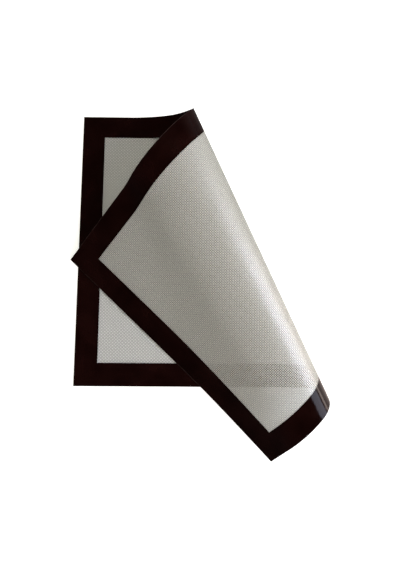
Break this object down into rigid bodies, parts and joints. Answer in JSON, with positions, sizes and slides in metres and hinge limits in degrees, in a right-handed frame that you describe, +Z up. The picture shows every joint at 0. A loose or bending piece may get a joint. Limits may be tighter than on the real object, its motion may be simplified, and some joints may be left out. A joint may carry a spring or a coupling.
{
  "type": "silicone baking mat",
  "caption": "Flexible woven baking mat coated in clear silicone with a dark border, lying flat and rolled loosely over onto itself.",
  "frame": {"origin": "middle of the footprint, on the table that the mat lies on", "axes": "+X along the mat's length from the flat end towards the loop, +Y towards the mat's back long edge, +Z up"},
  "size_m": [0.2712, 0.3736, 0.0726],
  "materials": {
    "glass_cloth": "plain-woven glass-fibre cloth, off-white, held in silicone",
    "clear_silicone": "clear to milky cured silicone, satin, with the weave showing through",
    "border_silicone": "near-black brown pigmented silicone, glossy"
  },
  "bodies": {
    "root": {"glass_fibre_cloth": "glass_cloth", "upper_silicone_coat": "clear_silicone", "under_silicone_coat": "clear_silicone", "upper_border": "border_silicone", "under_border": "border_silicone"}
  },
  "joints": []
}
